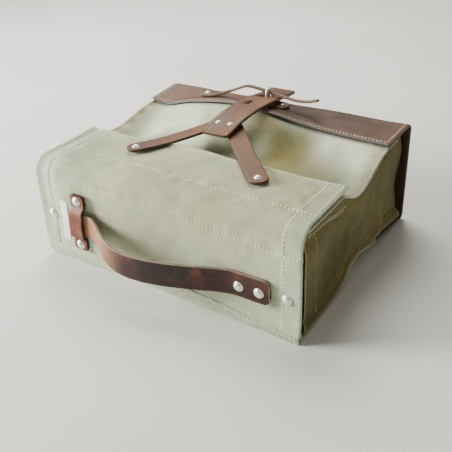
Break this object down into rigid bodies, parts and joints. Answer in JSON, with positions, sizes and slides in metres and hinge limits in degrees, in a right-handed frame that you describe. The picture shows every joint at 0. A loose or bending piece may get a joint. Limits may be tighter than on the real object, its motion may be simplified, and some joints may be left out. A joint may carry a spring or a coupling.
{
  "type": "mail sack",
  "caption": "Flap-over canvas satchel with a leather bottom, a riveted leather handle, a tab-and-staple closure and a lace that locks it.",
  "frame": {"origin": "middle of the outside of the back panel, which the satchel lies on", "axes": "+X across the satchel towards the handle's riveted end, +Y from the top panel to the leather bottom, +Z from the back to the front"},
  "size_m": [0.3006, 0.2863, 0.1364],
  "materials": {
    "canvas": "matt ribbed cotton canvas, washed",
    "bridle_leather": "waxed brown leather with a worn edge",
    "handle_leather": "dark red-brown leather, mottled and rubbed",
    "nickel": "domed nickel",
    "steel": "plain steel"
  },
  "bodies": {
    "bag": {"front_panel": "canvas", "back_panel": "canvas", "gusset_left": "canvas", "gusset_right": "canvas", "leather_bottom": "bridle_leather", "staple_base": "bridle_leather", "staple_loop": "steel", "staple_rivet_left": "nickel", "staple_rivet_right": "nickel", "lock_strap_anchor": "bridle_leather", "lock_strap_rivet": "nickel"},
    "lid": {"lid_panel": "canvas", "handle_strap_anchor": "handle_leather", "handle_keeper": "handle_leather", "handle_rivet_inner": "nickel", "handle_rivet_outer": "nickel", "keeper_rivet_upper": "nickel", "keeper_rivet_lower": "nickel", "corner_rivet_left": "nickel", "corner_rivet_right": "nickel"},
    "flap": {"flap_panel": "canvas", "arm_left_end": "bridle_leather", "arm_right_end": "bridle_leather", "arm_rivet_left": "nickel", "arm_rivet_right": "nickel"},
    "closure": {"arm_left": "bridle_leather", "arm_right": "bridle_leather", "closure_tab": "bridle_leather", "tab_rivet_left": "nickel", "tab_rivet_right": "nickel"},
    "handle_right": {"handle_strap_right": "handle_leather"},
    "handle_left": {"handle_strap_left": "handle_leather"},
    "handle_end": {"handle_strap_end": "handle_leather", "handle_stop_plate": "steel"},
    "lock_near": {"lock_strap_near": "bridle_leather"},
    "lock_far": {"lock_strap_far": "bridle_leather"},
    "lock_tail": {"lock_strap_tail": "bridle_leather"}
  },
  "joints": [
    {"name": "lid_hinge", "type": "hinge", "parent": "bag", "child": "lid", "pos_m": [0, -0.124, 0.0055], "axis": [1, 0, 0], "range_deg": [0, 43]},
    {"name": "flap_hinge", "type": "hinge", "parent": "lid", "child": "flap", "pos_m": [0, -0.088, 0.111], "axis": [1, 0, 0], "range_deg": [0, 90]},
    {"name": "closure_lift", "type": "hinge", "parent": "flap", "child": "closure", "pos_m": [0, -0.048, 0.115], "axis": [1, 0, 0], "range_deg": [0, 45]},
    {"name": "handle_pull", "type": "hinge", "parent": "lid", "child": "handle_right", "pos_m": [0.074, -0.1289, 0.043], "axis": [0, 0, 1], "range_deg": [-11, 2.5]},
    {"name": "handle_bend", "type": "hinge", "parent": "handle_right", "child": "handle_left", "pos_m": [-0.005, -0.1522, 0.043], "axis": [0, 0, 1], "range_deg": [-6, 24]},
    {"name": "handle_slide_bend", "type": "hinge", "parent": "handle_left", "child": "handle_end", "pos_m": [-0.078, -0.1274, 0.051], "axis": [0, 0, 1], "range_deg": [-12.5, 3]},
    {"name": "lock_strap_pull", "type": "hinge", "parent": "bag", "child": "lock_near", "pos_m": [-0.066, 0.0915, 0.1215], "axis": [0, -1, 0], "range_deg": [0, 45], "deforming": ["lock_strap_near", "lock_strap_far", "lock_strap_tail"]},
    {"name": "lock_strap_bend", "type": "hinge", "parent": "lock_near", "child": "lock_far", "pos_m": [-0.033, 0.0938, 0.1343], "axis": [0, -1, 0], "range_deg": [-88, 2]},
    {"name": "lock_strap_level", "type": "hinge", "parent": "lock_far", "child": "lock_tail", "pos_m": [0, 0.0965, 0.1305], "axis": [0, -1, 0], "range_deg": [-2, 47]}
  ],
  "couplings": [
    {"joint": "handle_bend", "follows": "handle_pull", "ratio": -2.0822},
    {"joint": "handle_slide_bend", "follows": "handle_pull", "ratio": 1.0822},
    {"joint": "lock_strap_bend", "follows": "lock_strap_pull", "ratio": -1.9},
    {"joint": "lock_strap_level", "follows": "lock_strap_pull", "ratio": 1}
  ]
}
